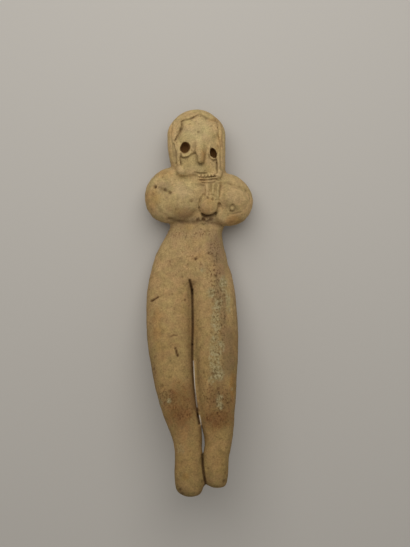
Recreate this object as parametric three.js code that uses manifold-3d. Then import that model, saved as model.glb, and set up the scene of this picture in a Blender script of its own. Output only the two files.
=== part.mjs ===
// A hand-modelled terracotta figurine of a seated woman, lying on her back.
//
// She is one piece of fired clay: a trunk, two legs and two arms rolled as coils, two breasts,
// a domed head with a pinched nose and punched eyes, and clay pressed on for the hair, the rows
// of the necklace and its pendant. Every form is a closed skin, and the skins are joined into
// one solid.
//
// Millimetres. She lies face up on the plane z = 0: +Z runs out of her face, +Y from her toes to
// her crown, and +X towards her own left side. Her hips and knees are flexed, so that her lower
// legs stay clear of the ground. "right" and "left" are her own.

import * as THREE from "three";
import { mergeVertices } from "three/addons/utils/BufferGeometryUtils.js";
import Module from "manifold-3d";

const wasm = await Module();
wasm.setup();

// Driving dimensions.
const CROWN_Y = 61.8; // top of the bare skull, measured from between the hips
const HEAD_WIDTH = 17; // bare, without the hair
const HEAD_DEPTH = 14.4;
const HAIR_THICKNESS = 0.9;
const SHOULDER_WIDTH = 35.1; // elbow to elbow, the widest place
const THIGH_WIDTH = 15;
const EYE_DEPTH = 3.4;
const FLAT_DEPTH = 0.35; // how far the lowest places of her back are rubbed flat
const CLAY_COLOUR = 0xb39a6c;

const UP = new THREE.Vector3(0, 0, 1);

// A closed skin round a row of stations, like a rolled coil of clay. A station has a centre
// (x, y, z), a half width, and half depths to the front (+Z) and to the back. The first and last
// shares of its length, start and end, are rounded off. A box below 1 makes the section squarer
// than an ellipse.
function coil(stations, { rings = 16, sides = 16, start = 0.08, end = 0.08, box = 1 } = {}) {
  const centres = new THREE.CatmullRomCurve3(stations.map(({ x, y, z }) => new THREE.Vector3(x, y, z)));
  const sizes = new THREE.CatmullRomCurve3(
    stations.map(({ wide, front = wide, back = front }) => new THREE.Vector3(wide, front, back)),
  );
  const skin = new THREE.SphereGeometry(1, sides, rings);
  const points = skin.getAttribute("position");
  for (let i = 0; i < points.count; i++) {
    const along = THREE.MathUtils.clamp((1 - points.getY(i)) / 2, 0, 1);
    const around = Math.atan2(points.getZ(i), points.getX(i));
    const fullness = rounded(along / start) * rounded((1 - along) / end);
    const { x: wide, y: front, z: back } = sizes.getPoint(along);
    const across = squared(Math.cos(around), box) * wide * fullness;
    const height = squared(Math.sin(around), box) * fullness;
    const tangent = centres.getTangent(along);
    const side = new THREE.Vector3().crossVectors(UP, tangent).normalize();
    const out = new THREE.Vector3().crossVectors(tangent, side);
    const point = centres
      .getPoint(along)
      .addScaledVector(side, across)
      .addScaledVector(out, height * (height > 0 ? front : back));
    points.setXYZ(i, point.x, point.y, point.z);
  }
  return skin;
}

function squared(value, power) {
  return Math.sign(value) * Math.abs(value) ** power;
}

// How full a round end is, at a share of the way along it.
function rounded(share) {
  return share >= 1 ? 1 : Math.sqrt(Math.max(0, 1 - (1 - share) ** 2));
}

// An egg-shaped lump of clay, with its half sizes along x, y and z.
function lump(x, y, z, [rx, ry, rz], sides = 16, rings = 10) {
  return new THREE.SphereGeometry(1, sides, rings)
    .rotateX(Math.PI / 2)
    .scale(rx, ry, rz)
    .translate(x, y, z);
}

// A geometry as a solid that can be joined and cut.
function solid(geometry) {
  const bare = geometry.clone().deleteAttribute("normal").deleteAttribute("uv");
  const merged = mergeVertices(bare, 1e-4);
  return new wasm.Manifold(
    new wasm.Mesh({
      numProp: 3,
      vertProperties: merged.getAttribute("position").array,
      triVerts: new Uint32Array(merged.index.array),
    }),
  );
}

function joined(geometries) {
  return geometries.map(solid).reduce((whole, piece) => whole.add(piece));
}

function trunk() {
  return coil(
    [
      { x: 0.8, y: 46, z: 7.6, wide: 6, front: 5.2, back: 5.4 },
      { x: 0.6, y: 40, z: 7.2, wide: 10.4, front: 6, back: 6.6 },
      { x: 0.2, y: 33, z: 7.1, wide: 12.6, front: 6.2, back: 7.3 },
      { x: -0.6, y: 27.5, z: 6.9, wide: 10, front: 5.6, back: 6 },
      { x: -1, y: 23.5, z: 6.9, wide: 8.5, front: 5, back: 4.9 },
      { x: -1.9, y: 17, z: 7, wide: 10.8, front: 5.6, back: 5.8 },
      { x: -2.6, y: 11, z: 7.2, wide: 12.7, front: 6.2, back: 7 },
      { x: -2.6, y: 7.6, z: 7.6, wide: 13.4, front: 6.2, back: 7.2 },
      { x: -2.5, y: 5.2, z: 7.8, wide: 12.4, front: 5.8, back: 6.4 },
    ],
    { rings: 24, sides: 24, start: 0.1, end: 0.07, box: 0.88 },
  );
}

// Each leg starts inside the belly, and rises to the knee and then a little to the foot.
const LEG_SKIN = { rings: 28, sides: 18, start: 0.05, box: 0.86 };

function rightLeg() {
  return coil(
    [
      { x: -6.6, y: 16, z: 6.4, wide: 4.2, front: 4.4, back: 5.4 },
      { x: -8.8, y: 10, z: 7.3, wide: 6.6, front: 5.5, back: 7.1 },
      { x: -9.5, y: 3, z: 8.6, wide: 7.4, front: 6.4, back: 8.6 },
      { x: -9.5, y: -5, z: 11, wide: THIGH_WIDTH / 2, front: 6.8, back: 8.5 },
      { x: -9.1, y: -12.5, z: 14.4, wide: 7.3, front: 6.8, back: 7.9 },
      { x: -8.1, y: -20.5, z: 18.2, wide: 6.7, front: 6.4, back: 6.8 },
      { x: -7.1, y: -27, z: 20.9, wide: 6.3, front: 5.9, back: 6 },
      { x: -5.9, y: -32.3, z: 22.9, wide: 5.7, front: 5.2, back: 5.4 },
      { x: -4.7, y: -36.8, z: 23.9, wide: 5.1, front: 4.6, back: 4.9 },
      { x: -3.9, y: -40.6, z: 24.4, wide: 4.4, front: 4.3, back: 4.6 },
      { x: -3.4, y: -45.4, z: 25, wide: 4, front: 4.1, back: 4.4 },
      { x: -3.1, y: -51, z: 25.7, wide: 4.5, front: 4.3, back: 5 },
      { x: -2.8, y: -55.4, z: 26.1, wide: 4.5, front: 4.3, back: 5 },
      { x: -3.2, y: -59.2, z: 26.4, wide: 3.6, front: 3.8, back: 4.4 },
    ],
    { ...LEG_SKIN, end: 0.045 },
  );
}

function leftLeg() {
  return coil(
    [
      { x: 2, y: 16, z: 6.4, wide: 4, front: 4.4, back: 5.4 },
      { x: 3.8, y: 10, z: 7.3, wide: 6.2, front: 5.5, back: 7.1 },
      { x: 4.6, y: 3, z: 8.6, wide: 7.1, front: 6.4, back: 8.6 },
      { x: 5, y: -5, z: 11, wide: THIGH_WIDTH / 2 - 0.1, front: 6.8, back: 8.5 },
      { x: 5.3, y: -12.5, z: 14.4, wide: 7.3, front: 6.8, back: 7.9 },
      { x: 5.4, y: -20.5, z: 18.2, wide: 6.7, front: 6.4, back: 6.8 },
      { x: 5.6, y: -27, z: 20.9, wide: 6.1, front: 5.9, back: 6 },
      { x: 5.5, y: -32, z: 22.9, wide: 5.8, front: 5.2, back: 5.4 },
      { x: 6.1, y: -37.6, z: 24, wide: 4.9, front: 4.5, back: 4.8 },
      { x: 6.1, y: -43, z: 24.7, wide: 4, front: 4.1, back: 4.4 },
      { x: 5.4, y: -47, z: 25.2, wide: 3.9, front: 4, back: 4.4 },
      { x: 5.2, y: -51, z: 25.7, wide: 4, front: 4.2, back: 4.8 },
      { x: 5.2, y: -54, z: 26, wide: 3.7, front: 4, back: 4.6 },
      { x: 4.9, y: -56.6, z: 26.3, wide: 2.9, front: 3.6, back: 4.2 },
    ],
    { ...LEG_SKIN, end: 0.04 },
  );
}

// The arms go round the sides, and the hands come up under the breasts.
function arms() {
  const elbow = SHOULDER_WIDTH / 2;
  const right = [
    { x: -3.6, y: 40, z: 7, wide: 3.4, front: 5, back: 5.4 },
    { x: -9.4, y: 39.4, z: 7.4, wide: 4.5, front: 6.2, back: 6.8 },
    { x: 5.2 - elbow, y: 35.6, z: 7.9, wide: 5.2, front: 6.6, back: 7 },
    { x: -11.8, y: 31.2, z: 8.6, wide: 4.9, front: 6, back: 6.6 },
    { x: -7.8, y: 29.3, z: 9.6, wide: 4, front: 4.8, back: 5.4 },
    { x: -3.2, y: 29.2, z: 10.4, wide: 3.3, front: 3.6, back: 4 },
  ];
  const left = [
    { x: 4.4, y: 38.2, z: 7, wide: 3.6, front: 4.8, back: 5.4 },
    { x: 10, y: 37.5, z: 7.4, wide: 4.1, front: 5.6, back: 6.8 },
    { x: elbow - 4.7, y: 33.8, z: 7.9, wide: 4.7, front: 5.8, back: 7 },
    { x: 12, y: 29.8, z: 8.8, wide: 4.3, front: 5.2, back: 6.4 },
    { x: 8.6, y: 28.1, z: 10, wide: 3.5, front: 4.5, back: 5 },
    { x: 4.8, y: 28.3, z: 10.8, wide: 3, front: 3.5, back: 4 },
  ];
  const roll = { rings: 26, sides: 18, start: 0.12, end: 0.2 };
  return [coil(right, roll), coil(left, roll)];
}

// The right one is larger, and only the left one has a nipple of its own.
function breasts() {
  return [
    lump(-6.3, 32.8, 9.6, [7.1, 7.1, 6.6], 26, 14),
    lump(11.4, 33.2, 9.6, [5.3, 5, 6.3], 24, 14),
    lump(10.6, 30.4, 14.6, [0.9, 0.8, 0.8], 8, 6),
  ];
}

// The head's stations, with the hair as a coat of the given thickness over the bare skull. Each
// one is so far down from the crown, and its sizes are trims on half the head's width and depth.
function headStations(coat) {
  const half = HEAD_WIDTH / 2;
  const deep = HEAD_DEPTH / 2;
  const station = (x, down, wide, front, back) => ({
    x,
    y: CROWN_Y - down,
    z: 8,
    wide: half + wide + coat,
    front: deep + front + coat,
    back: deep + back + coat,
  });
  return [
    { ...station(-0.8, 0, -0.9, -2, -1), y: CROWN_Y + coat },
    station(-0.8, 5, 0, -0.7, 0),
    station(-0.8, 10, 0, -0.5, 0.2),
    station(-0.5, 15, -0.3, -0.6, -0.2),
    station(0.1, 19, -0.9, -0.8, -0.9),
    station(0.4, 21.4, -1.4, -1.2, -1.6),
  ];
}

const HEAD_SKIN = { rings: 22, sides: 24, start: 0.3, end: 0.08, box: 0.82 };

// The bare face shows through the hair between the parting, the temples and the shoulders.
function faceOpening() {
  const edge = [
    [0, 60.2],
    [-5.6, 58],
    [-5.8, 57],
    [-7.7, 51.6],
    [-5.9, 47.6],
    [-5.8, 43],
    [-4, 40],
    [6, 38],
    [5.7, 41.4],
    [5.5, 46],
    [6.6, 50.2],
    [5.8, 56.4],
    [5.9, 57.4],
    [3, 58.8],
  ];
  const outline = new THREE.Shape(edge.map(([x, y]) => new THREE.Vector2(x, y)));
  return new THREE.ExtrudeGeometry(outline, { depth: 20, bevelEnabled: false }).translate(0, 0, 8);
}

function head() {
  const skull = solid(coil(headStations(0), HEAD_SKIN));
  const hair = solid(coil(headStations(HAIR_THICKNESS), HEAD_SKIN)).subtract(solid(faceOpening()));
  return skull.add(hair);
}

// The ends of the hair are rolled into beads that rest on the shoulders.
function hairEnds() {
  return [
    lump(-5.7, 42.1, 12, [1.9, 1.9, 2.3], 14, 8),
    lump(6.4, 41.4, 12.2, [1.2, 1.4, 2], 10, 8),
    lump(6.2, 38.9, 12, [1.1, 1, 1.6], 10, 6),
  ];
}

function nose() {
  return coil(
    [
      { x: 0, y: 53.4, z: 13, wide: 2, front: 1.2, back: 2 },
      { x: 0.1, y: 50, z: 13.4, wide: 2.3, front: 2.6, back: 2 },
      { x: 0.4, y: 47, z: 13.6, wide: 1.7, front: 3.8, back: 2 },
      { x: 0.6, y: 44.4, z: 13.6, wide: 1, front: 3.4, back: 2 },
    ],
    { rings: 10, sides: 12, start: 0.25, end: 0.16 },
  );
}

// An eye is a flat pellet with a hole punched through it, off its middle.
const EYES = [
  { x: -4.1, y: 48.6, z: 13.4, wide: 2.4, tall: 2.8, hole: { x: -4.45, y: 49.4, wide: 1.6, tall: 1.85 } },
  { x: 4, y: 47.7, z: 13, wide: 1.9, tall: 2.4, hole: { x: 4.4, y: 47.8, wide: 1.2, tall: 1.75 } },
];

function eyePellets() {
  return EYES.map(({ x, y, z, wide, tall }) => lump(x, y, z, [wide, tall, 1.6], 16, 8));
}

function eyeHoles() {
  return EYES.map(({ z, hole }) =>
    new THREE.CylinderGeometry(1, 0.75, EYE_DEPTH * 2, 16)
      .rotateX(Math.PI / 2)
      .scale(hole.wide, hole.tall, 1)
      .translate(hole.x, hole.y, z + 0.9),
  );
}

// Three rows across the throat, and three strands from them to a round pendant.
function necklace() {
  const rows = [41, 39.7, 38.4].map((y) => {
    const stations = [-1, 1.6, 4.4, 6.6].map((x) => ({ x, y, z: 13.1, wide: 0.55, front: 0.9, back: 2 }));
    return coil(stations, { rings: 8, sides: 8 });
  });
  const strands = [
    { x: 2.6, foot: 33 },
    { x: 4.5, foot: 34.2 },
    { x: 6.2, foot: 32.6 },
  ].map(({ x, foot }) => {
    const stations = [38.9, 36.6, 34.8, foot].map((y) => ({ x, y, z: 12.9, wide: 0.75, front: 1, back: 2 }));
    return coil(stations, { rings: 8, sides: 8, start: 0.15, end: 0.15 });
  });
  const throat = lump(2.8, 37, 9.8, [6.5, 6.5, 3.5], 18, 10);
  const pendant = lump(3.4, 31.1, 12.8, [2.95, 3, 2.2], 20, 8);
  return [throat, ...rows, ...strands, pendant];
}

// The ground that she lies on, taken away so that the places she rests on are flat.
function ground() {
  return new THREE.BoxGeometry(80, 200, 20).translate(0, 0, FLAT_DEPTH - 10);
}

function figurineGeometry() {
  const forms = joined([
    trunk(),
    rightLeg(),
    leftLeg(),
    ...arms(),
    ...breasts(),
    nose(),
    ...eyePellets(),
    ...hairEnds(),
    ...necklace(),
  ]);
  const cuts = joined([ground(), ...eyeHoles()]);
  const mesh = forms.add(head()).subtract(cuts).getMesh();
  return new THREE.BufferGeometry()
    .setAttribute("position", new THREE.BufferAttribute(mesh.vertProperties, 3))
    .setIndex(new THREE.BufferAttribute(mesh.triVerts, 1));
}

// Her place puts the middle of her outline over the origin, with her back on the ground.
function figurine() {
  const geometry = figurineGeometry();
  geometry.computeBoundingBox();
  const { min, max } = geometry.boundingBox;
  geometry.translate(-(min.x + max.x) / 2, -(min.y + max.y) / 2, -min.z);
  geometry.computeVertexNormals();
  const clay = new THREE.MeshStandardMaterial({ color: CLAY_COLOUR, roughness: 0.95, metalness: 0 });
  const mesh = new THREE.Mesh(geometry, clay);
  mesh.name = "figurine";
  return mesh;
}

const part = new THREE.Group();
part.add(figurine());

export default part;
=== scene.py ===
"""The looks of a hand-modelled terracotta figurine, lying on her back on a pale table.

Metres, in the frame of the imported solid: +Z out of her face, +Y to her crown, +X to her own left.
The solid is taken over as an even skin of small faces, smoothed as wet clay is by the fingers,
and cut with the grooves, pits and strands that are too fine for it. Each mark is named, and is
given in pixels of the photograph, which the camera's place turns into places on her front.
"""

import math

import bmesh
import bpy
import numpy as np
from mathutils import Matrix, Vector, noise


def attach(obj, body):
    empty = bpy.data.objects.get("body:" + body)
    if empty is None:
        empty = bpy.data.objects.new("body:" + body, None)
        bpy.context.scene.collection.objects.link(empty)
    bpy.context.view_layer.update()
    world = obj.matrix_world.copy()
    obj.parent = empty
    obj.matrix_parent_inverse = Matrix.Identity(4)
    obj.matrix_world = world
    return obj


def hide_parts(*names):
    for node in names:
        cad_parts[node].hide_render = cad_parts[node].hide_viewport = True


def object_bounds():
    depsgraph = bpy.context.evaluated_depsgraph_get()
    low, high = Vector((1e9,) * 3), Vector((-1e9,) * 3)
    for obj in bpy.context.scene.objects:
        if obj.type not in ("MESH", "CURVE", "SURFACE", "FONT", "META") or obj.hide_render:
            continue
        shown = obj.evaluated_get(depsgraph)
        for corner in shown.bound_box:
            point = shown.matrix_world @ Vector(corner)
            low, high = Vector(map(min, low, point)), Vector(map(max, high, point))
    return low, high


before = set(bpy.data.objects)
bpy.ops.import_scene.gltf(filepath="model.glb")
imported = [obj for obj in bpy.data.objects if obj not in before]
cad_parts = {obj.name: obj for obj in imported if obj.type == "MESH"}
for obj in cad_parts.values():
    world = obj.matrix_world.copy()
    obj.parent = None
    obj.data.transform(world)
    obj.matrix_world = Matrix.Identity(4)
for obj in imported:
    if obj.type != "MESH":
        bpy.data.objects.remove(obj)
cad_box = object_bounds()

MM = 0.001

# The photograph, and the place it was taken from, straight above her.
PHOTO_WIDTH = 410
PHOTO_HEIGHT = 547
CAMERA_PLACE = Vector((1.95, 7.63, 349.65)) * MM
MIDDLE_HEIGHT = 7.65 * MM
PIXEL = 0.325 * MM  # what a pixel covers at that height

# The skin, and how long its facets, its creases and its finer parts are smoothed. Her face and
# necklace are spared most of it. The ovals are middles and radii in pixels.
VOXEL = 0.42 * MM
SMOOTHING_ROUNDS = 110
SMOOTHING_PULLS = (0.5, -0.53)  # there and back
MELTING_PULL = (0.5,)
FACE_KEEPS = 0.85
FACE_OVALS = [((199, 146), (21, 32)), ((210, 196), (13, 24))]
CREASE_ROUNDS = 40
FINER_OVALS = [((198, 146), (29, 40)), ((207, 200), (17, 27)), ((234, 205), (18, 20))]
FINER_BY_THE_CLEFTS = (3, 0.2)  # the width in pixels, and the least strength of the line there
FINER_ROUNDS = 3

# How far up the skin has to face, as the Z of its normal, for a kind of work to begin and for it
# to be done in full, which keeps the marks of her front off her sides and back.
UP_FOR = {
    "face": (0, 0.4),
    "smears": (-0.3, 0.1),
    "marks": (0.1, 0.45),
    "clefts": (-0.2, 0.1),
    "colours": (-0.25, 0.25),
}
UP_FOR_FINER = 0.1
UP_FOR_FINER_CLEFTS = -0.3
UP_FOR_DIRT_AND_SHADE_IN_CLEFTS = -0.1

# The touch of a hand: the size of the dents, and how far they rise and fall.
HAND_DENTS = [(9 * MM, 0.16 * MM), (3 * MM, 0.07 * MM), (1.3 * MM, 0.03 * MM)]
WOBBLE = 0.45  # how far the marks stray, in pixels
WOBBLE_SIZE = 1.5 * MM
COLOUR_WOBBLE = 3 * WOBBLE
COLOUR_WOBBLE_SIZE = 2 * WOBBLE_SIZE
UNEVEN = 0.7  # the share by which a mark is deeper in one place than in another
NOISE_SEED = 7

# The pits of the grit: the least and the greatest radius and depth in millimetres, and dirt with painted
# shade.
GRIT_COUNT = 320
GRIT_SEED = 11
GRIT_RADIUS = (0.25, 0.65)
GRIT_DEPTH = (0.05, 0.2)
GRIT_DIRT_AND_SHADE = (0.1, 0.55)
GRIT_WALL = (0.2, 1)  # where the wall of a pit ends and begins, in radii

# How lines and spots fade, in shares of their width and radius.
CURVE_STEP = 2  # pixels
LINE_FADE = 0.6
LINE_REACH = 3
SPOT_FADE = (0.35, 1.25)

# The lips pushed up beside a groove, in widths of the groove, and their height in its depths.
LIP_OUTSIDE = 2.4
LIP_INSIDE = 1.6
LIP_HEIGHT = 0.5

# Grooves drawn with a stick, and the creases between coils: the path, its width in pixels, its
# depth in millimetres, and how much dirt and painted shade darken it; under the breasts it is painted
# shade where the chest overhangs.
GROOVES = {
    "fringe, her right": ([(200, 113.8), (195, 116.8), (189, 119.4), (181.4, 121.2)], 1.5, 0.35, 0.55),
    "temple, her right": ([(182, 121), (182.2, 126), (180, 133), (175.3, 140.8)], 1.7, 0.35, 0.5),
    "fringe, her left": ([(200, 113.8), (205, 117), (211, 119.6), (218, 122)], 2.1, 0.3, 0.4),
    "temple, her left": ([(217.3, 123.5), (217.2, 131), (218.4, 139), (221, 146.5)], 2, 0.3, 0.35),
    "cheek, her left": ([(215.6, 155.5), (216.2, 165), (216.8, 173)], 1.5, 0.5, 0.85),
    "cheek, her right": ([(181, 153.5), (180.7, 159), (181.2, 164.5)], 1.5, 0.4, 0.6),
    "strand, her right": ([(173.3, 144), (175.3, 154), (176.3, 164)], 1.5, 0.3, 0.4),
    "lock, her right": ([(172.4, 124), (170.8, 134), (172, 147), (173.6, 160)], 1.4, 0.2, 0.2),
    "twist, her left": ([(221.8, 124), (223, 131), (222.4, 139), (223.4, 147)], 1.4, 0.2, 0.15),
    "strand, her left": ([(220.4, 148), (220.8, 158), (221.3, 170)], 1.4, 0.25, 0.3),
    "edge of the lock, her left": ([(217.8, 146), (217.4, 152), (215.8, 156)], 1.4, 0.3, 0.4),
    "crown, her right": ([(196, 111.5), (188, 114), (179.5, 119)], 1.3, 0.12, 0.12),
    "crown, her left": ([(203, 111.8), (211, 114.8), (219.5, 120)], 1.3, 0.12, 0.1),
    "under the right eye": ([(181.8, 157.5), (185, 158), (190, 156), (193.8, 153.2)], 1.5, 0.35, 0.5),
    "inner corner of the right eye": ([(193.8, 153.2), (196, 154), (197.2, 156)], 1.3, 0.25, 0.4),
    "brow, her right": ([(194.6, 141), (195, 147), (194.6, 152.4)], 2, 0.15, 0.15),
    "under the left eye": ([(208, 148.5), (208.4, 154), (211, 159.4), (215.6, 161)], 1.4, 0.3, 0.4),
    "nose, her right": ([(195.4, 153), (196.4, 157), (198.6, 161.6), (200.8, 164)], 2, 0.15, 0.18),
    "nose, her left": ([(205.8, 155), (204.6, 160), (202.8, 163), (200.8, 164)], 2, 0.15, 0.12),
    "end of the nose": ([(198.4, 163.2), (200.8, 164.6), (203, 163.4)], 1.8, 0.25, 0.3),
    "chin": ([(194.8, 172.4), (200, 173.6), (206.4, 173)], 1.3, 0.3, 0.5),
    "under the beads": ([(199.8, 177.5), (204.8, 177.8), (209, 177.3), (215, 176.4)], 1.2, 0.35, 0.5),
    "second row": ([(200.4, 180), (207.5, 180.2), (214.8, 179), (219, 180.4)], 1.4, 0.4, 0.42),
    "third row": ([(202.6, 182.8), (208.5, 183.2), (214.5, 182.2)], 1.4, 0.3, 0.35),
    "between strands 1": ([(210.6, 185), (210.4, 191)], 1.5, 0.3, 0.25),
    "between strands 2": ([(215.8, 185), (215.6, 191)], 1.3, 0.2, 0.15),
    "beside strand 3": ([(221, 187), (220.2, 191.5), (219.9, 196.5)], 1.6, 0.25, 0.25),
    "foot of strand 2": ([(208.7, 195), (213.4, 195.2)], 1.3, 0.2, 0.25),
    "beside strand 1": ([(205, 190), (204.2, 196)], 1.5, 0.2, 0.25),
    "pendant, right": ([(203.8, 195), (200.8, 199), (199.4, 203), (199, 208)], 1.6, 0.45, 0.4),
    "pendant, right foot": ([(199, 208), (200, 212), (202.6, 214.8)], 1.6, 0.45, 0.5),
    "pendant, foot": ([(202.6, 214.8), (205, 216.2), (210, 216.2), (214.6, 214.6)], 2.3, 0.9, 1.0),
    "pendant, left": ([(214.6, 214.6), (217.4, 211.6), (219.2, 207), (219.2, 204)], 1.8, 0.5, 0.3),
    "arm, her left": ([(223.4, 182.6), (232, 184.6), (241.8, 187.4), (247, 191.2)], 1.8, 0.3, 0.35),
    "elbow, her left": ([(247, 191.2), (250.2, 196.5), (251.3, 201)], 1.9, 0.12, 0.12),
    "arm, her right": ([(158, 208), (164, 214.2), (170, 218.3), (177, 220.4)], 3, 0.15, 0.2),
    "under the left breast": ([(224.5, 213.4), (233, 214), (241, 212)], 1.6, 0.15, 0.3),
    "scratch on the arm": ([(158.5, 187.6), (163.5, 189.4), (168, 191.6)], 1.8, 0.25, 0.5),
    "crotch, edge": ([(183.5, 287.6), (186, 285.6), (188.6, 283.6)], 1.4, 0.15, 0.15),
    "under the breasts, right": ([(169, 219.5), (181, 222.4), (194, 222)], 3, 0.4, 0.5),
    "under the breasts, left": ([(208, 221), (215, 224), (224, 226)], 2.6, 0.3, 0.4),
    "nick on the hip": ([(150.8, 300.9), (154.5, 299.2), (157.8, 296.8)], 1.3, 0.5, 1.3),
    "line on the thigh": ([(170.7, 336.3), (173.5, 335.2), (176.5, 335.4)], 1.3, 0.25, 1.0),
    "cut on the thigh": ([(175.6, 347.6), (176.6, 351.5), (177.8, 355.6)], 1.3, 0.5, 1.4),
}

# Ridges of clay, in the same way, with a height in place of the depth.
RIDGES = {
    "rim of the right eye": ([(180.2, 152.6), (183, 155.6), (188.4, 155.4), (192.2, 150)], 2.3, 0.45),
    "rim of the left eye": ([(209.6, 147.4), (208.8, 151.5), (209.8, 156), (213, 159)], 1.8, 0.45),
    "lock, her right": ([(178.3, 144), (178.6, 155), (178.7, 164)], 2.6, 0.25),
    "lock, her left": ([(219, 124), (220.4, 133), (218.6, 146), (218.8, 172)], 2.2, 0.2),
    "strand 1": ([(206.6, 184.5), (207.6, 196)], 2.6, 0.2),
    "strand 2": ([(213, 184.5), (212.6, 192.5)], 2.4, 0.25),
    "strand 3": ([(217.9, 184), (217.2, 198)], 2.4, 0.25),
    "middle row": ([(199, 178.8), (209, 178.6), (217, 177.6)], 1.8, 0.3),
    "last row": ([(202, 181.4), (214.5, 180.8)], 1.6, 0.25),
    "end of the hair, her left": ([(215.4, 174), (219.6, 176)], 2.8, 0.4),
    "seam at the throat": ([(214.5, 181.4), (217.5, 182), (220.5, 182.4)], 1.8, 0.3),
}

# Clay added or pressed flat over a wide strip. The sockets of the eyes are pressed in.
FILLS = {
    "inside of the right breast": ([(194.6, 184), (196.6, 195), (196.2, 208)], 6, 0.5),
    "nose": ([(200.4, 147), (200.8, 159)], 9, 0.3),
    "socket of the right eye": ([(184.4, 146), (185.4, 149)], 14, -0.3),
    "socket of the left eye": ([(212.6, 150.5), (213.4, 154)], 11, -0.25),
}

# Pits: the middle, the radius in pixels, the depth in millimetres and the dirt with painted shade in it.
PITS = {
    "upper arm": ((153.8, 176.4), 1.3, 0.25, 0.5),
    "deep nick on the arm": ((154.7, 186.9), 2.1, 0.6, 1.0),
    "arm 1": ((165.2, 190), 1.8, 0.3, 0.75),
    "arm 2": ((169.8, 192.3), 2.2, 0.3, 0.8),
    "shoulder": ((172.4, 184.5), 1.1, 0.15, 0.3),
    "right nipple": ((192, 200.5), 2.2, 0.25, 0.6),
    "breast": ((176.8, 205.5), 1.4, 0.12, 0.3),
    "pendant 1": ((207.5, 197.8), 1.4, 0.3, 0.5),
    "pendant 2": ((212.8, 198.9), 1.7, 0.35, 0.55),
    "left breast 1": ((225.6, 211), 1.5, 0.15, 0.4),
    "left breast 2": ((226.6, 207), 2.6, 0.05, 0.25),
    "above the left nipple": ((232.6, 205.4), 2.2, 0.1, 0.4),
    "crumb shade 1": ((203.6, 219.4), 2.4, 0.4, 0.9),
    "crumb shade 2": ((198, 220.6), 2.6, 0.3, 0.8),
    "crumb shade 3": ((211, 219.4), 2.6, 0.25, 0.7),
    "belly 1": ((189.2, 247), 1.3, 0.25, 0.6),
    "belly 2": ((195.6, 259), 1.9, 0.4, 0.9),
    "belly 3": ((201, 264.4), 1.4, 0.3, 0.75),
    "belly 4": ((187.8, 264), 1.3, 0.2, 0.5),
    "belly 5": ((180, 258.3), 1.2, 0.2, 0.5),
    "belly 6": ((208.7, 253), 1.4, 0.3, 0.8),
    "belly 7": ((212.4, 254), 1.4, 0.3, 0.8),
    "belly 8": ((182.3, 277.3), 1.3, 0.25, 0.6),
    "belly 9": ((214, 269.6), 1.3, 0.2, 0.6),
    "belly 10": ((215, 276.4), 1.3, 0.2, 0.5),
    "thigh 1": ((185.4, 300), 1.4, 0.25, 0.6),
    "thigh 2": ((161.5, 296), 1.1, 0.2, 0.5),
    "thigh 3": ((172.7, 294), 1.5, 0.1, 0.3),
    "thigh 4": ((167.2, 307.4), 1.1, 0.12, 0.35),
    "thigh 5": ((170.4, 343), 1.2, 0.15, 0.35),
    "thigh 6": ((183.6, 317), 1.2, 0.12, 0.3),
    "knee 1": ((161.7, 386), 1.9, 0.25, 0.6),
    "knee 2": ((153.6, 369.6), 1.4, 0.2, 0.5),
    "knee 3": ((203.4, 372.4), 1.4, 0.25, 0.6),
    "knee 4": ((209.6, 387.4), 1.3, 0.25, 0.7),
    "knee 5": ((218.6, 388.6), 1.2, 0.2, 0.6),
    "shin 1": ((219.6, 439), 1.3, 0.2, 0.5),
    "shin 2": ((179.6, 434), 1.3, 0.12, 0.35),
    "foot 1": ((196.6, 460.4), 1.4, 0.15, 0.4),
    "foot 2": ((208, 468.4), 1.5, 0.2, 0.6),
    "foot 3": ((217, 472), 1.2, 0.15, 0.4),
    "foot 4": ((225.6, 472.6), 1.5, 0.3, 0.6),
    "toe chip 1": ((179.6, 490), 2, 0.4, 0.7),
    "toe chip 2": ((181.6, 494), 1.6, 0.4, 0.6),
    "toe chip 3": ((224.6, 481.6), 2, 0.4, 0.6),
    "toe chip 4": ((203.4, 482), 1.8, 0.3, 0.6),
}

# Small lumps: crumbs of clay, the ends of the hair, and the left nipple.
LUMPS = {
    "tip of the nose": ((200.8, 161.4), 3.2, 0.25),
    "left nipple": ((232.3, 208.8), 1.8, 0.45),
    "end of the lock, her right": ((181.4, 170.6), 5.4, 0.5),
    "end of the lock, her left": ((218.4, 181.6), 1.8, 0.4),
    "crumb 1": ((200.6, 219.4), 1.7, 0.5),
    "crumb 2": ((206.8, 219.8), 1.8, 0.55),
    "crumb 3": ((203.4, 223), 1.6, 0.4),
    "crumb 4": ((195.6, 220.6), 1.6, 0.35),
}

# The row of beads under her chin, in pixels, and the pits between them, darkened with dirt and painted
# shade.
BEADS = 5
FIRST_BEAD = (199.4, 175.6)
BEAD_STEP = (3.3, -0.1)
BEAD_SAG = 0.4
BEAD_RADII = (1.6, 1.4)
BEAD_HEIGHT = 0.65
BETWEEN_BEADS_RADII = (0.9, 1.3)
BETWEEN_BEADS_DEPTH = 0.4
BETWEEN_BEADS_DIRT_AND_SHADE = 0.5

# The ring round the left nipple: the middle, the radii, the share of them that is its width, the
# depth and the dirt with painted shade.
LEFT_NIPPLE_RING = ((232.3, 208.6), (3, 3), 0.4, 0.15, 0.45)

# The eyes are punched holes: the middle, the radii and the lean.
EYES = {
    "right eye": ((185, 147.5), (5.1, 6), 12),
    "left eye": ((213, 153), (3.6, 5.4), -16),
}
EYE_DEPTH = 3 * MM
EYE_RIM = (1.1, 1.4)  # the band that gives the height of an eye's rim, in radii
EYE_WALL = (0.6, 1.02)  # where the wall of the hole ends and begins
EYE_SHADE = (0.8, 1.05)

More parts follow.
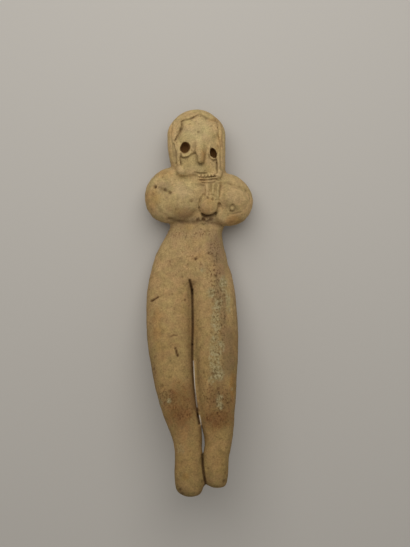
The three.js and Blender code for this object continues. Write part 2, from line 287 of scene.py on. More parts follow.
# The clefts between the legs: the path, its width in pixels and its depth in millimetres.
CLEFTS = {
    "crotch": ([(189.6, 280.4), (190.6, 284.5), (191.9, 290), (192.1, 294)], 1.7, 1.2),
    "between the thighs": ([(192, 290), (192.4, 305), (192.7, 325), (192.2, 345)], 1.5, 1.2),
    "between the knees": ([(192.2, 345), (192.4, 366), (193.4, 384), (196.4, 406), (198, 418)], 1.5, 1.2),
    "above the gap": ([(197.6, 415), (198.6, 420), (199.2, 424)], 1.3, 1.2),
    "between the feet": ([(202.3, 455), (203, 468), (205.2, 482), (206.6, 487)], 1.5, 1.2),
}
# How far the dirt and painted shade of a cleft spread
CLEFT_DIRT_AND_SHADE_WIDTH = 1.25  # in widths of the cleft

# A painted line of light stands for the table shining through the narrowest cleft: the path and its
# width. A line of painted shade runs beside it: the path, its width and how dark it is.
LIGHTS_IN_THE_CLEFT = [
    ([(193.4, 361), (194.3, 376), (195, 388), (196.4, 401), (197.2, 407)], 0.75),
    ([(199.4, 415.5), (200.4, 420), (201.4, 427)], 0.8),
]
SHADE_BY_THE_CLEFT = ([(189.6, 286), (190, 325), (190, 350), (191, 380), (194.4, 408)], 4, 0.32)

# The gap between her shins, which smoothing has opened, and how far its walls come back.
GAP = ([(198.8, 418), (200.4, 427), (201.4, 437), (201.3, 447), (200.4, 457)], 7)
GAP_CLOSES = 0.45 * MM

# The creases that a thumb has smeared over, and how wide the smear is.
SMEAR_BY_THE_CLEFTS = 9
SMEARS = {
    "right breast and arm": ([(176, 179), (171, 186), (168, 195), (165, 204), (163, 211)], 9),
    "left breast and arm": ([(226, 185), (238, 186.5), (247, 193)], 6),
    "left breast and forearm": ([(224, 214), (234, 214), (244, 210)], 9),
    "left hand": ([(223, 201), (226, 204), (231, 208), (238, 212)], 6),
    "groin, right": ([(160, 276), (174, 276), (186, 280)], 10),
    "groin, left": ([(196, 280), (208, 276), (222, 276)], 10),
}

# Colours that lie on the clay in patches, some of them painted light and shade: the middle, the radii in
# pixels, and the strength.
PATCHES = {
    "blush": [
        ((181, 408), (20, 26), 0.6), ((179, 415), (14, 12), 0.35), ((218, 410), (21, 26), 0.6),
        ((217, 420), (16, 11), 0.35), ((181, 390), (18, 16), 0.25), ((184, 434), (14, 14), 0.25),
        ((188, 346), (3, 4), 0.4), ((172, 261), (4, 3), 0.3),
    ],
    # The grey stain, mostly on her left leg; the patches under and beside the breasts and across the
    # waist are painted shade.
    "stain_and_shade": [
        ((216, 247), (10, 16), 0.85), ((220, 266), (8, 18), 0.85), ((220, 292), (7, 22), 1.0),
        ((223, 316), (5, 20), 1.0), ((228, 341), (8, 18), 1.0), ((229, 362), (8, 16), 1.0),
        ((218, 345), (9, 20), 0.35), ((218, 376), (10, 14), 0.7), ((219, 398), (13, 16), 0.6),
        ((167, 398), (9, 10), 0.5), ((153, 374), (5, 18), 0.3), ((212, 300), (7, 26), 0.3),
        ((188, 234), (30, 8), 0.3), ((216, 480), (16, 8), 0.25), ((181, 491), (9, 7), 0.35),
        ((203, 221), (16, 5), 0.8), ((184, 219), (16, 6), 0.5), ((157, 218), (8, 5), 0.2),
        ((209, 207), (9, 9), 0.3), ((165, 187), (8, 7), 0.75), ((185, 212), (14, 7), 0.4),
    ],
    "specks": [
        ((214, 250), (8, 14), 0.9), ((214, 272), (8, 15), 1.0), ((219, 292), (10, 16), 1.0),
        ((220, 316), (9, 18), 1.0), ((218, 342), (10, 16), 0.8), ((216, 366), (10, 16), 0.9),
        ((207, 392), (8, 16), 0.7), ((220, 398), (13, 16), 1.0), ((166, 396), (13, 14), 0.7),
        ((153, 372), (6, 16), 0.6), ((183, 408), (18, 14), 0.6), ((217, 418), (14, 10), 0.6),
        ((190, 234), (30, 6), 0.7), ((204, 220), (14, 4), 0.7), ((190, 262), (24, 20), 0.3),
    ],
    "chalk": [
        ((223.4, 284), (5, 9), 0.9), ((227.6, 298), (3, 9), 0.7), ((210.5, 293), (5, 7), 0.6),
        ((219, 303), (5, 8), 0.5), ((215.5, 318), (6, 18), 0.8), ((228, 309), (3, 5), 0.6),
        ((213.5, 343), (6, 12), 0.6), ((221, 348), (4, 8), 0.6), ((215, 362), (8, 13), 0.7),
        ((219, 374), (6, 8), 1.0), ((211.5, 381), (4, 6), 0.6), ((219.5, 401), (5, 10), 0.7),
        ((203.5, 269), (4, 4), 0.6), ((168.3, 400.6), (2.6, 2.6), 0.9), ((231.7, 389), (2.4, 2.4), 0.7),
        ((181, 450), (5, 6), 0.35), ((160, 402), (3, 4), 0.5), ((151, 371), (2.5, 6), 0.5),
    ],
    # Paler clay on the forehead, and painted light on the lit tops of the breasts and chest.
    "pale": [
        ((197, 130), (17, 17), 0.9), ((184, 189), (13, 12), 0.8), ((200, 167), (12, 6), 0.4),
        ((233, 197), (9, 9), 0.4), ((203, 186), (10, 5), 0.3), ((182, 171), (6, 6), 0.5),
    ],
    # Painted light on the sides of her hair and on the outside of her left arm.
    "bright": [
        ((171, 138), (6, 34), 0.55), ((224, 142), (6, 38), 0.55), ((247, 206), (10, 14), 1.0),
    ],
    # Orange clay, and painted shade on the darker flank of the nose and under the breasts.
    "orange": [
        ((152, 200), (9, 15), 0.9), ((163, 175), (12, 6), 0.5), ((233, 222), (10, 8), 0.9),
        ((233, 384), (4, 18), 0.9), ((185, 477), (5, 5), 0.7), ((209, 206), (9, 10), 0.6),
        ((203.4, 157), (4, 9), 0.7), ((157, 330), (6, 30), 0.4), ((171, 140), (4, 34), 0.25),
        ((220, 138), (4, 22), 0.25), ((202, 181), (8, 4), 0.4), ((209, 167), (7, 7), 0.35),
        ((213, 120), (7, 3), 0.5), ((185, 225), (20, 6), 0.3), ((203, 256), (9, 9), 0.3),
        ((185, 213), (13, 7), 0.5),
    ],
}

# The tops of the ridges, the beads and the left nipple are made pale, partly as wear and partly as
# painted highlight where light catches them.
WORN_AND_HIGHLIT_BY_HEIGHT = 2
WORN_AND_HIGHLIT_RADII = (2, 2)

# The clay's colour along her, from the soles at 0 to the crown at 1, darker towards her feet partly as
# the clay's own colour and partly as painted shade of a broad shadow over her legs.
ALONG_HER = [
    (0.02, (138, 114, 71)), (0.13, (148, 121, 76)), (0.31, (148, 122, 78)), (0.41, (152, 126, 82)),
    (0.51, (163, 136, 91)), (0.64, (167, 140, 97)), (0.78, (174, 150, 104)), (0.93, (179, 155, 108)),
]

# The noises of the clay: the size of their blobs, their detail, their roughness, and how many
# times longer they are along her than across.
CLAY_NOISES = {
    "clouds": (8 * MM, 4, 0.6, 1),
    "casts": (3.2 * MM, 2, 0.5, 1),
    "mottle": (1.7 * MM, 3, 0.6, 1),
    "streaks": (1.1 * MM, 2, 0.5, 5),
    "grit": (0.75 * MM, 2, 0.5, 1),
    "fine": (0.6 * MM, 3, 0.6, 1.5),
    "grain": (0.5 * MM, 4, 0.7, 1),
}

# How dark and how light some of them make the clay, in shares of its own colour.
DARK_AND_LIGHT = {"mottle": (0.84, 1.15), "streaks": (0.94, 1.06), "grain": (0.76, 1.24)}

# What the clay's colour is multiplied by in each kind of place.
TINTS = {
    "clouds": (0.93, 0.82, 0.7),
    "green cast": (0.98, 1.0, 0.95),
    "rosy cast": (1.03, 0.985, 1.0),
    "pale": (1.04, 1.09, 1.16),
    "bright": (1.28, 1.26, 1.28),
    "worn_and_highlit": (1.16, 1.17, 1.2),
    "orange": (0.94, 0.82, 0.68),
    "blush": (0.66, 0.54, 0.48),
    "grit in the blush": (0.6, 0.5, 0.5),
    "stain_and_shade": (0.71, 0.7, 0.77),
    "specks": (0.45, 0.38, 0.33),
    "grit": (0.45, 0.36, 0.3),
}

# Which part of a factor shows, from its low value to its high one, and how strongly there.
SHOWN = {
    "clouds": (0.45, 0.75, 0, 0.5),
    "casts": (0.38, 0.62, 0, 1),
    "grit in the blush": (0.48, 0.62, 0, 0.4),
    "chalk grains": (0.5, 0.64, 0, 0.7),
    "specks": (0.48, 0.38, 0, 0.9),
    "grit": (0.62, 0.72, 0, 0.45),
    "dirt_and_shade": (0, 1, 0, 0.9),
    "edge of a patch": (0.1, 0.9, 0, 1),
    "inside of a patch": (0, 0.25, 0, 1),
}
MOST_OF_A_NOISE = (0.3, 0.7)  # nearly all its values lie in here
FILM_STRENGTH = 0.6

# How far a noise breaks up the edges of patches.
SOFT_EDGE = 0.2
BLUSH_EDGE = 0.25
RAGGED_EDGE = 0.4
BROKEN_EDGE = 0.5

# Colours, as they look on a screen: chalk that covers the clay, dirt with painted shade, painted light
# in the cleft, painted shade and dirt in the eyes, and the table.
CHALK_FILM = (142, 132, 92)
CHALK_GRAINS = (168, 155, 121)
DIRT_AND_SHADE_COLOUR = (82, 56, 30)
LIGHT_COLOUR = (196, 184, 166)
HOLE_SHADE_AND_DIRT_COLOUR = (112, 78, 40)
TABLE_COLOUR = (189, 184, 176)

# The surfaces, which are all nearly matt.
CLAY_ROUGHNESS = 0.92
TABLE_ROUGHNESS = 0.7
SPECULAR = 0.2
BUMP_STRENGTH = 0.5
BUMP_HEIGHT = 0.15 * MM
MOTTLE_IN_BUMP = 1.5  # how much of the bump is mottle, next to the grain

# The stage: one large soft light beyond her head, and pale light from all round.
TABLE_SIZE = 2.4
LIGHT_PLACE = (-0.01, 0.18, 0.27)
LIGHT_SIZE = 0.4
LIGHT_POWER = 0.78
ROOM_COLOUR = (1.0, 0.985, 0.96)
ROOM_STRENGTH = 0.34
NEAREST_SEEN = 10 * MM


def smoothstep(low, high, values):
    share = np.clip((values - low) / (high - low), 0, 1)
    return share * share * (3 - 2 * share)


def photo_pixels(points):
    """Where the photograph shows points of her front: their columns and rows."""
    distance = CAMERA_PLACE.z - points[:, 2]
    pixel = PIXEL * distance / (CAMERA_PLACE.z - MIDDLE_HEIGHT)
    columns = PHOTO_WIDTH / 2 + (points[:, 0] - CAMERA_PLACE.x) / pixel
    rows = PHOTO_HEIGHT / 2 - (points[:, 1] - CAMERA_PLACE.y) / pixel
    return np.stack([columns, rows], axis=1)


def curve(path):
    """The short steps of a smooth curve through all the points of a path."""
    points = [np.array(point, dtype=float) for point in (path[0], *path, path[-1])]
    places = [points[1]]
    for before, start, end, after in zip(points, points[1:], points[2:], points[3:]):
        steps = max(1, round(float(np.linalg.norm(end - start)) / CURVE_STEP))
        for step in range(1, steps + 1):
            t = step / steps
            places.append(0.5 * (
                2 * start + (end - before) * t + (2 * before - 5 * start + 4 * end - after) * t**2
                + (3 * start - before - 3 * end + after) * t**3
            ))
    return places


def line(pixels, path, width):
    """1 along a curve, fading to 0 at about its width away."""
    places = curve(path)
    reach = LINE_REACH * width
    low = np.min(places, axis=0) - reach
    high = np.max(places, axis=0) + reach
    near = np.all((pixels > low) & (pixels < high), axis=1)
    nearest = np.full(np.count_nonzero(near), np.inf)
    for start, end in zip(places, places[1:]):
        step = end - start
        share = np.clip((pixels[near] - start) @ step / (step @ step), 0, 1)
        gap = pixels[near] - start - share[:, None] * step
        nearest = np.minimum(nearest, np.hypot(gap[:, 0], gap[:, 1]))
    strength = np.zeros(len(pixels))
    strength[near] = np.exp(-((nearest / (LINE_FADE * width)) ** 2))
    return strength


def oval_distance(pixels, centre, radii, lean=0):
    """Distance from an oval's middle, where 1 is its rim. It leans clockwise, in degrees."""
    gap = pixels - np.array(centre)
    turn = math.radians(lean)
    across = (gap[:, 0] * math.cos(turn) + gap[:, 1] * math.sin(turn)) / radii[0]
    down = (gap[:, 1] * math.cos(turn) - gap[:, 0] * math.sin(turn)) / radii[1]
    return np.hypot(across, down)


def spot(pixels, centre, radii):
    """1 in the middle of an oval, fading to 0 a little outside its rim."""
    return 1 - smoothstep(*SPOT_FADE, oval_distance(pixels, centre, radii))


def clay_noise(points, size):
    """Smooth noise at every point, with a direction of its own there."""
    return np.array([noise.noise_vector(Vector(point) / size) for point in points])


class Skin:
    """The points of a mesh, with their neighbours and the way each one faces."""

    def __init__(self, mesh):
        self.mesh = mesh
        self.points = np.empty(len(mesh.vertices) * 3)
        mesh.vertices.foreach_get("co", self.points)
        self.points = self.points.reshape(-1, 3)
        self.edges = np.empty(len(mesh.edges) * 2, dtype=np.int64)
        mesh.edges.foreach_get("vertices", self.edges)
        self.edges = self.edges.reshape(-1, 2)

    def normals(self):
        self.store()
        normals = np.empty(len(self.points) * 3)
        self.mesh.vertices.foreach_get("normal", normals)
        return normals.reshape(-1, 3)

    def store(self):
        self.mesh.vertices.foreach_set("co", self.points.ravel())
        self.mesh.update()

    def smooth(self, rounds, share=1.0, pulls=SMOOTHING_PULLS):
        """Moves the points towards their neighbours and back again, which takes the facets away
        and keeps the size. A single pull melts the shape a little."""
        first, second = self.edges.T
        count = len(self.points)
        degree = np.bincount(self.edges.ravel(), minlength=count)[:, None]
        for pull in pulls * rounds:
            total = np.stack([
                np.bincount(first, self.points[second, axis], count)
                + np.bincount(second, self.points[first, axis], count)
                for axis in range(3)
            ], axis=1)
            self.points += pull * share * (total / degree - self.points)


def even_skin(node, name):
    """A copy of a CAD node as a skin of small even faces."""
    piece = bpy.data.objects.new(name, node.data.copy())
    bpy.context.collection.objects.link(piece)
    remesh = piece.modifiers.new("even skin", "REMESH")
    remesh.mode = "VOXEL"
    remesh.voxel_size = VOXEL
    shown = piece.evaluated_get(bpy.context.evaluated_depsgraph_get())
    mesh = bpy.data.meshes.new_from_object(shown)
    piece.modifiers.clear()
    piece.data = mesh
    return piece


def smooth_skin(mesh):
    """Smooths the facets away, most on the limbs and least on the face and the necklace."""
    skin = Skin(mesh)
    pixels = photo_pixels(skin.points)
    up = skin.normals()[:, 2]
    face = np.max([spot(pixels, *oval) for oval in FACE_OVALS], axis=0) * smoothstep(*UP_FOR["face"], up)
    skin.smooth(SMOOTHING_ROUNDS, share=(1 - FACE_KEEPS * face)[:, None])
    smear_creases(skin, up)
    path, width = GAP
    closing = GAP_CLOSES * line(photo_pixels(skin.points), path, width)
    skin.points += skin.normals() * closing[:, None]
    skin.store()


def smear_creases(skin, up):
    """Melts the creases that a thumb went over, and what the solid has of the clefts."""
    pixels = photo_pixels(skin.points)
    clefts = [(path, SMEAR_BY_THE_CLEFTS) for path, _, _ in CLEFTS.values()]
    smeared = np.max([line(pixels, *smear) for smear in (*SMEARS.values(), *clefts)], axis=0)
    share = (smeared * smoothstep(*UP_FOR["smears"], up))[:, None]
    skin.smooth(CREASE_ROUNDS, share=share, pulls=MELTING_PULL)


def finer_front(mesh):
    """Halves the faces on the front of her head and chest and in the clefts, for the fine work."""
    shape = bmesh.new()
    shape.from_mesh(mesh)
    pixels = photo_pixels(np.array([face.calc_center_median() for face in shape.faces]))
    up = np.array([face.normal.z for face in shape.faces])
    fine = np.any([oval_distance(pixels, *oval) < 1 for oval in FINER_OVALS], axis=0)
    width, least = FINER_BY_THE_CLEFTS
    by_clefts = [line(pixels, path, width) > least for path, _, _ in CLEFTS.values()]
    wanted = fine & (up > UP_FOR_FINER) | np.any(by_clefts, axis=0) & (up > UP_FOR_FINER_CLEFTS)
    shape.faces.ensure_lookup_table()
    shape.edges.ensure_lookup_table()
    numbers = {edge.index for index in np.nonzero(wanted)[0] for edge in shape.faces[index].edges}
    edges = [shape.edges[number] for number in sorted(numbers)]
    bmesh.ops.subdivide_edges(shape, edges=edges, cuts=1, use_grid_fill=True)
    shape.to_mesh(mesh)
    shape.free()
    skin = Skin(mesh)
    skin.smooth(FINER_ROUNDS)
    skin.store()


def dent_by_hand(skin):
    """Gives the whole skin, the back too, the slow unevenness that fingers leave."""
    normals = skin.normals()
    for size, height in HAND_DENTS:
        skin.points += normals * clay_noise(skin.points, size)[:, :1] * height


def scattered_places(mesh, count, random):
    """Places spread evenly over a mesh."""
    mesh.calc_loop_triangles()
    points = np.array([vertex.co for vertex in mesh.vertices])
    corners = points[[triangle.vertices[:] for triangle in mesh.loop_triangles]]
    areas = np.array([triangle.area for triangle in mesh.loop_triangles])
    chosen = random.choice(len(areas), count, p=areas / areas.sum())
    shares = random.dirichlet((1, 1, 1), count)
    return np.sum(shares[:, :, None] * corners[chosen], axis=1)


def pit_with_grit(skin, dirt_and_shade, solid):
    """Scatters the small pits that grit leaves in the clay, all round her, darkened with dirt and painted
    shade.
    """
    random = np.random.default_rng(GRIT_SEED)
    normals = skin.normals()
    for place in scattered_places(solid, GRIT_COUNT, random):
        radius = random.uniform(*GRIT_RADIUS) * MM
        depth = random.uniform(*GRIT_DEPTH) * MM
        dark = random.uniform(*GRIT_DIRT_AND_SHADE)
        middle = skin.points[np.argmin(np.linalg.norm(skin.points - place, axis=1))]
        distance = np.linalg.norm(skin.points - middle, axis=1)
        near = distance < radius
        pit = 1 - smoothstep(*GRIT_WALL, distance[near] / radius)
        skin.points[near] -= normals[near] * (depth * pit)[:, None]
        dirt_and_shade[near] = np.maximum(dirt_and_shade[near], dark * pit)


def beads():
    """The middles of the beads under her chin, on a line that sags a little."""
    for index in range(BEADS):
        across = index / (BEADS - 1)
        sag = BEAD_SAG * 4 * across * (1 - across)
        yield (FIRST_BEAD[0] + index * BEAD_STEP[0], FIRST_BEAD[1] + index * BEAD_STEP[1] + sag)


def raise_marks(pixels, rise):
    """Adds what stands proud: the filled places, the ridges and the lumps."""
    for path, width, height in (*FILLS.values(), *RIDGES.values()):
        rise += height * line(pixels, path, width)
    for centre, radius, height in LUMPS.values():
        rise += height * spot(pixels, centre, (radius, radius))


def sink_marks(pixels, uneven, rise, dark):
    """Takes away what is cut in, with its dirt and painted shade: the grooves, the pits and the nipple's
    ring.
    """
    for path, width, depth, dust_and_shade in GROOVES.values():
        groove = line(pixels, path, width) * uneven
        lips = line(pixels, path, LIP_OUTSIDE * width) - line(pixels, path, LIP_INSIDE * width)
        rise -= depth * (groove - LIP_HEIGHT * lips)
        np.maximum(dark, dust_and_shade * groove, out=dark)
    for centre, radius, depth, dust_and_shade in PITS.values():
        pit = spot(pixels, centre, (radius, radius)) * uneven
        rise -= depth * pit
        np.maximum(dark, dust_and_shade * pit, out=dark)
    centre, radii, width, depth, dust_and_shade = LEFT_NIPPLE_RING
    ring = np.exp(-(((oval_distance(pixels, centre, radii) - 1) / width) ** 2)) * uneven
    rise -= depth * ring
    np.maximum(dark, dust_and_shade * ring, out=dark)


def string_beads(pixels, rise, dark):
    """Raises the beads, with a pit after each one that is darkened with dirt and painted shade."""
    for across, down in beads():
        rise += BEAD_HEIGHT * spot(pixels, (across, down), BEAD_RADII)
        gap = (across + BEAD_STEP[0] / 2, down + BEAD_STEP[1])
        between = spot(pixels, gap, BETWEEN_BEADS_RADII)
        rise -= BETWEEN_BEADS_DEPTH * between
        np.maximum(dark, BETWEEN_BEADS_DIRT_AND_SHADE * between, out=dark)


def carve(skin, dirt_and_shade):
    """Works every named mark into the skin, and returns where the eyes' holes are painted dark with shade
    and dirt.
    """
    normals = skin.normals()
    stray = clay_noise(skin.points, WOBBLE_SIZE)
    pixels = photo_pixels(skin.points) + WOBBLE * stray[:, :2]
    front = smoothstep(*UP_FOR["marks"], normals[:, 2])
    rise = np.zeros(len(pixels))
    dark = np.zeros(len(pixels))
    raise_marks(pixels, rise)
    sink_marks(pixels, 1 + UNEVEN * stray[:, 2], rise, dark)
    string_beads(pixels, rise, dark)
    skin.points += normals * (front * rise * MM)[:, None]
    np.maximum(dirt_and_shade, dark * front, out=dirt_and_shade)
    straight = photo_pixels(skin.points)
    cut_clefts(skin, straight, normals, dirt_and_shade)
    # painted shade along the flank of the thigh beside the cleft
    path, width, dust_and_shade = SHADE_BY_THE_CLEFT
    np.maximum(dirt_and_shade, dust_and_shade * line(straight, path, width) * front, out=dirt_and_shade)
    hole = np.zeros(len(pixels))
    for eye in EYES.values():
        punch(skin, oval_distance(pixels, *eye), hole)
    return hole


def cut_clefts(skin, pixels, normals, dirt_and_shade):
    """Cuts the clefts between the legs straight down, and fills them with dirt and painted shade."""
    for path, width, depth in CLEFTS.values():
        cleft = line(pixels, path, width) * smoothstep(*UP_FOR["clefts"], normals[:, 2])
        skin.points[:, 2] -= depth * MM * cleft
        dust_and_shade = line(pixels, path, CLEFT_DIRT_AND_SHADE_WIDTH * width) * (normals[:, 2] > UP_FOR_DIRT_AND_SHADE_IN_CLEFTS)
        np.maximum(dirt_and_shade, dust_and_shade, out=dirt_and_shade)


def punch(skin, from_middle, hole):
    """Pushes a hole straight down into the face by how far each point is from its middle; its inside
    takes painted shade.
    """
    above = skin.points[:, 2] > MIDDLE_HEIGHT
    rim = above & (from_middle > EYE_RIM[0]) & (from_middle < EYE_RIM[1])
    inside = above & (from_middle < EYE_WALL[1])
    bottom = np.median(skin.points[rim, 2]) - EYE_DEPTH * (1 - smoothstep(*EYE_WALL, from_middle[inside]))
    skin.points[inside, 2] = np.minimum(skin.points[inside, 2], bottom)
    # painted shade and dirt inside the hole, darkest in the middle
    dark = 1 - smoothstep(*EYE_SHADE, from_middle)
    hole[above] = np.maximum(hole[above], dark[above])


def tint(skin):
    """Keeps where each patch of colour, painted light and painted shade lies as an attribute of the mesh.
    """
    side = smoothstep(*UP_FOR["colours"], skin.normals()[:, 2])
    straight = photo_pixels(skin.points)
    pixels = straight + COLOUR_WOBBLE * clay_noise(skin.points, COLOUR_WOBBLE_SIZE)[:, :2]
    for name, patches in PATCHES.items():
        total = np.sum([spot(pixels, centre, radii) * share for centre, radii, share in patches], axis=0)
        store_attribute(skin.mesh, name, np.minimum(total, 1) * side)
    ridges = [
        WORN_AND_HIGHLIT_BY_HEIGHT * height * line(pixels, path, width) for path, width, height in RIDGES.values()
    ]
    knobs = [spot(pixels, centre, WORN_AND_HIGHLIT_RADII) for centre in (*beads(), LUMPS["left nipple"][0])]
    store_attribute(skin.mesh, "worn_and_highlit", np.max([*ridges, *knobs], axis=0) * side)
    # painted light for the table seen through the cleft
    light = np.max([line(straight, path, width) for path, width in LIGHTS_IN_THE_CLEFT], axis=0)
    store_attribute(skin.mesh, "light", light * side)


def store_attribute(mesh, name, values):
    mesh.attributes.new(name, "FLOAT", "POINT").data.foreach_set("value", values)


def model_clay(piece, solid):
    smooth_skin(piece.data)
    finer_front(piece.data)
    skin = Skin(piece.data)
    dent_by_hand(skin)
    dirt_and_shade = np.zeros(len(skin.points))
    pit_with_grit(skin, dirt_and_shade, solid)
    hole = carve(skin, dirt_and_shade)
    skin.points = np.clip(skin.points, *cad_box)
    skin.store()
    store_attribute(skin.mesh, "dirt_and_shade", dirt_and_shade)
    store_attribute(skin.mesh, "hole", hole)
    tint(skin)
    piece.data.shade_smooth()


def linear(red, green, blue):
    """A colour given as it looks on a screen, 0 to 255, for a shader."""
    def channel(value):
        value /= 255
        return value / 12.92 if value <= 0.04045 else ((value + 0.055) / 1.055) ** 2.4
    return (channel(red), channel(green), channel(blue), 1)


class Nodes:
    """Adds nodes to a material in few words."""

    def __init__(self, name):
        self.material = bpy.data.materials.new(name)
        self.material.use_nodes = True
        self.tree = self.material.node_tree
        self.shader = self.tree.nodes["Principled BSDF"]
        self.place = self.tree.nodes.new("ShaderNodeTexCoord").outputs["Object"]

    def surface(self, roughness):
        self.shader.inputs["Roughness"].default_value = roughness
        self.shader.inputs["Specular IOR Level"].default_value = SPECULAR

    def add(self, kind, settings=None, **inputs):
        node = self.tree.nodes.new("ShaderNode" + kind)
        for key, value in (settings or {}).items():
            setattr(node, key, value)
        for key, value in inputs.items():
            self.put(value, node.inputs[key.replace("_", " ")])
        return node

    def put(self, value, socket):
        if isinstance(value, bpy.types.NodeSocket):
            self.tree.links.new(value, socket)
        else:
            socket.default_value = value

    def noise(self, size, detail, roughness, stretch):
        """Noise whose blobs are about this many metres across, and longer along her if stretched."""
        place = self.add("Mapping", Vector=self.place, Scale=(1, 1 / stretch, 1)).outputs["Vector"]
        return self.add(
            "TexNoise", Vector=place, Scale=1 / size, Detail=detail, Roughness=roughness,
        ).outputs["Fac"]

    def spread(self, factor, low, high, to_low=0, to_high=1):
        """Spreads the part of a factor between low and high."""
        return self.add(
            "MapRange", Value=factor, From_Min=low, From_Max=high, To_Min=to_low, To_Max=to_high,
        ).outputs["Result"]

    def math(self, operation, first, second):
        node = self.add("Math", {"operation": operation})
        self.put(first, node.inputs[0])
        self.put(second, node.inputs[1])
        return node.outputs[0]

    def mix(self, factor, first, second, blend="MIX"):
        """Mixes colours, whose sockets come after those for numbers and vectors."""
        node = self.add("Mix", {"data_type": "RGBA", "blend_type": blend})
        self.put(factor, node.inputs[0])
        self.put(first, node.inputs[6])
        self.put(second, node.inputs[7])
        return node.outputs[2]

    def tinted(self, factor, colour, name):
        """Multiplies a colour by the tint of that name, where the factor says so."""
        return self.mix(factor, colour, (*TINTS[name], 1), "MULTIPLY")

    def attribute(self, name):
        return self.add("Attribute", {"attribute_name": name}).outputs["Fac"]

    def brighten(self, colour, pattern, low, high):
        """Makes a colour darker or lighter with a noise, between two shares of itself."""
        share = self.spread(pattern, *MOST_OF_A_NOISE, low, high)
        return self.add("HueSaturation", Value=share, Color=colour).outputs["Color"]

    def along(self, stops):
        """A colour that changes along her, from the soles at 0 to the crown at 1."""
        y = self.add("SeparateXYZ", Vector=self.place).outputs["Y"]
        place = self.spread(y, cad_box[0][1], cad_box[1][1])
        ramp = self.add("ValToRGB", Fac=place)
        elements = ramp.color_ramp.elements
        while len(elements) < len(stops):
            elements.new(1)
        for element, (position, colour) in zip(elements, stops):
            element.position = position
            element.color = linear(*colour)
        return ramp.outputs["Color"]

    def patch(self, name, breakup, amount):
        """The patch of that name, with an edge and holes that a noise breaks up."""
        bites = self.spread(breakup, *MOST_OF_A_NOISE, -amount, amount)
        broken = self.math("ADD", self.attribute(name), bites)
        inside = self.spread(self.attribute(name), *SHOWN["inside of a patch"])
        return self.math("MULTIPLY", self.spread(broken, *SHOWN["edge of a patch"]), inside)


def bare_clay(nodes, noises):
    """Clean clay, which changes along her, darker towards her feet partly with painted shade, and is
    cloudy, mottled and streaky.
    """
    colour = nodes.along(ALONG_HER)
    colour = nodes.tinted(nodes.spread(noises["clouds"], *SHOWN["clouds"]), colour, "clouds")
    for name in ("mottle", "streaks"):
        colour = nodes.brighten(colour, noises[name], *DARK_AND_LIGHT[name])
    rosy = nodes.spread(noises["casts"], *SHOWN["casts"])
    cast = nodes.mix(rosy, (*TINTS["green cast"], 1), (*TINTS["rosy cast"], 1))
    return nodes.mix(1.0, colour, cast, "MULTIPLY")


def fired_worn_and_lit(nodes, noises, colour):
    """The paler, worn, orange and reddish patches, with painted highlight on worn tops, painted light on
    lit tops and sides, and painted shade in some orange patches.
    """
    for name in ("pale", "bright"):
        colour = nodes.tinted(nodes.patch(name, noises["clouds"], SOFT_EDGE), colour, name)
    # worn tops, with painted highlight
    colour = nodes.tinted(nodes.attribute("worn_and_highlit"), colour, "worn_and_highlit")
    colour = nodes.tinted(nodes.patch("orange", noises["clouds"], SOFT_EDGE), colour, "orange")
    blush = nodes.patch("blush", noises["mottle"], BLUSH_EDGE)
    colour = nodes.tinted(blush, colour, "blush")
    grit = nodes.spread(noises["grit"], *SHOWN["grit in the blush"])
    return nodes.tinted(nodes.math("MULTIPLY", blush, grit), colour, "grit in the blush")


def stained_and_shaded(nodes, noises, colour):
    """The grey stain and the painted shade under and beside the breasts, with the chalk on the stain as a
    film and as grains, and its dark specks.
    """
    mottle = noises["mottle"]
    colour = nodes.tinted(nodes.patch("stain_and_shade", mottle, RAGGED_EDGE), colour, "stain_and_shade")
    film = nodes.math("MULTIPLY", nodes.patch("chalk", mottle, BROKEN_EDGE), FILM_STRENGTH)
    colour = nodes.mix(film, colour, linear(*CHALK_FILM))
    grains = nodes.spread(noises["fine"], *SHOWN["chalk grains"])
    chalk = nodes.math("MULTIPLY", nodes.patch("chalk", mottle, RAGGED_EDGE), grains)
    colour = nodes.mix(chalk, colour, linear(*CHALK_GRAINS))
    specks = nodes.spread(noises["fine"], *SHOWN["specks"])
    specks = nodes.math("MULTIPLY", nodes.patch("specks", mottle, BROKEN_EDGE), specks)
    return nodes.tinted(specks, colour, "specks")


def gritty_dirty_and_shaded(nodes, noises, colour):
    """The grain and the dark grit of all her clay, the dirt with painted shade, the painted light in the
    cleft, and the painted shade and dirt in the eyes.
    """
    colour = nodes.brighten(colour, noises["grain"], *DARK_AND_LIGHT["grain"])
    colour = nodes.tinted(nodes.spread(noises["grit"], *SHOWN["grit"]), colour, "grit")
    # dirt, and painted shade in the grooves, pits, clefts and creases
    dirt_and_shade = nodes.spread(nodes.attribute("dirt_and_shade"), *SHOWN["dirt_and_shade"])
    colour = nodes.mix(dirt_and_shade, colour, linear(*DIRT_AND_SHADE_COLOUR))
    colour = nodes.mix(nodes.attribute("light"), colour, linear(*LIGHT_COLOUR))
    # the eye holes, painted dark with shade and dirt
    return nodes.mix(nodes.attribute("hole"), colour, linear(*HOLE_SHADE_AND_DIRT_COLOUR))


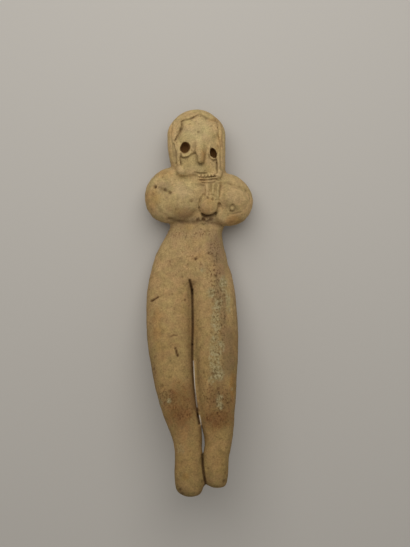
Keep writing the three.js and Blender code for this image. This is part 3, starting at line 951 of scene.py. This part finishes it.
def clay_material():
    nodes = Nodes("fired clay")
    nodes.surface(CLAY_ROUGHNESS)
    noises = {name: nodes.noise(*settings) for name, settings in CLAY_NOISES.items()}
    colour = bare_clay(nodes, noises)
    for layer in (fired_worn_and_lit, stained_and_shaded, gritty_dirty_and_shaded):
        colour = layer(nodes, noises, colour)
    nodes.put(colour, nodes.shader.inputs["Base Color"])
    rough = nodes.math("ADD", noises["grain"], nodes.math("MULTIPLY", noises["mottle"], MOTTLE_IN_BUMP))
    bump = nodes.add("Bump", Strength=BUMP_STRENGTH, Distance=BUMP_HEIGHT, Height=rough)
    nodes.put(bump.outputs["Normal"], nodes.shader.inputs["Normal"])
    return nodes.material


def make_figurine():
    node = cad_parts["figurine"]
    piece = even_skin(node, "clay_figurine")
    model_clay(piece, node.data)
    piece.data.materials.clear()
    piece.data.materials.append(clay_material())
    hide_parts("figurine")
    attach(piece, "root")


def make_table():
    bpy.ops.mesh.primitive_plane_add(size=TABLE_SIZE)
    table = bpy.context.object
    table.name = "table"
    nodes = Nodes("pale table")
    nodes.surface(TABLE_ROUGHNESS)
    nodes.shader.inputs["Base Color"].default_value = linear(*TABLE_COLOUR)
    table.data.materials.append(nodes.material)


def make_lights():
    data = bpy.data.lights.new("window", "AREA")
    data.shape = "DISK"
    data.size = LIGHT_SIZE
    data.energy = LIGHT_POWER
    light = bpy.data.objects.new("window", data)
    light.location = LIGHT_PLACE
    light.rotation_euler = (-Vector(LIGHT_PLACE)).to_track_quat("-Z", "Y").to_euler()
    bpy.context.collection.objects.link(light)
    world = bpy.data.worlds.new("room")
    world.use_nodes = True
    background = world.node_tree.nodes["Background"]
    background.inputs["Color"].default_value = (*ROOM_COLOUR, 1)
    background.inputs["Strength"].default_value = ROOM_STRENGTH
    bpy.context.scene.world = world


def make_camera():
    data = bpy.data.cameras.new("camera")
    data.sensor_fit = "VERTICAL"
    reach = PIXEL * PHOTO_HEIGHT / 2
    distance = CAMERA_PLACE.z - MIDDLE_HEIGHT
    data.angle_y = 2 * math.atan(reach / distance)
    data.clip_start = NEAREST_SEEN
    camera = bpy.data.objects.new("camera", data)
    camera.location = CAMERA_PLACE
    bpy.context.collection.objects.link(camera)
    bpy.context.scene.camera = camera


noise.seed_set(NOISE_SEED)
bpy.context.scene.view_settings.view_transform = "Standard"
make_camera()
make_lights()
make_table()
make_figurine()
